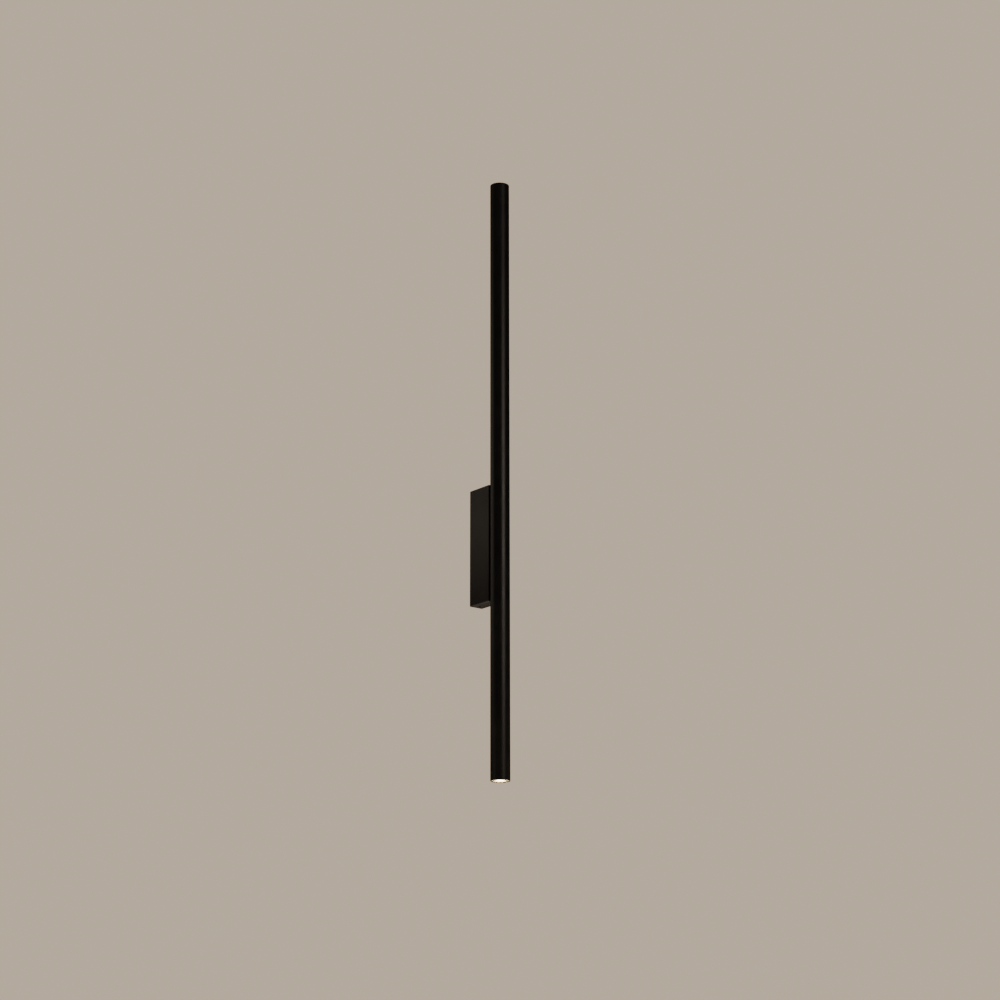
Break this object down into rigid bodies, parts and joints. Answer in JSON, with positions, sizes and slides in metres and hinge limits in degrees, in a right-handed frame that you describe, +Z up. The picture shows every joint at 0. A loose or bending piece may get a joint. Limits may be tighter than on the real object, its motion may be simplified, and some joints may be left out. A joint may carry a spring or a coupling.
{
  "type": "tube wall light",
  "caption": "Slim round tube wall light, shining up and down from lenses in its ends, held off the wall by a narrow box on a screwed bracket.",
  "frame": {"origin": "centre of the two wall screws, on the wall plane, which is the middle of the wall box's height", "axes": "+Z up along the tube, +Y into the wall, -Y out into the room, +X to the right seen from the room"},
  "size_m": [0.025, 0.0625, 0.8],
  "materials": {
    "black_coat": "satin black powder coat",
    "zinc_steel": "zinc plated",
    "black_screw": "black oxide",
    "bare_aluminium": "turned or extruded, bare",
    "black_rubber": "matt",
    "white_nylon": "natural nylon",
    "spring_steel": "stainless strip",
    "tinned_copper": "tin plated",
    "earth_sleeve": "green and yellow insulation",
    "live_sleeve": "brown insulation",
    "neutral_sleeve": "blue insulation",
    "red_sleeve": "red insulation",
    "white_sleeve": "white insulation",
    "black_sleeve": "black insulation",
    "driver_plastic": "fine texture",
    "board_green": "solder resist",
    "ferrite": "bare ferrite and tape",
    "capacitor_sleeve": "heat-shrink sleeve",
    "foam_tape": "closed-cell foam",
    "lens_acrylic": "polished optical acrylic",
    "holder_plastic": "white, light-tight",
    "emitter": "phosphor dome on white ceramic",
    "board_white": "white solder resist on aluminium core",
    "thermal_tape": "silicone pad"
  },
  "bodies": {
    "root": {"tube": "black_coat", "wall_box": "black_coat", "wall_bracket": "zinc_steel", "box_grub_screw": "black_screw", "nut_bar": "bare_aluminium", "tube_screws": "zinc_steel", "cable_grommet": "black_rubber", "wire_grommet": "black_rubber", "terminal_block": "white_nylon", "terminal_springs": "spring_steel", "earth_tags": "tinned_copper", "earth_screw": "zinc_steel", "earth_wire": "earth_sleeve", "live_wire": "live_sleeve", "neutral_wire": "neutral_sleeve", "driver_case": "driver_plastic", "driver_cover": "driver_plastic", "driver_board": "board_green", "driver_transformer": "ferrite", "driver_capacitors": "capacitor_sleeve", "driver_pad": "foam_tape", "feed_wire": "red_sleeve", "link_wire": "white_sleeve", "return_wire": "black_sleeve", "lenses": "lens_acrylic", "lens_holders": "holder_plastic", "heat_sinks": "bare_aluminium", "upper_led_emitter": "emitter", "upper_led_board": "board_white", "upper_thermal_tape": "thermal_tape", "lower_led_emitter": "emitter", "lower_led_board": "board_white", "lower_thermal_tape": "thermal_tape"}
  },
  "joints": []
}
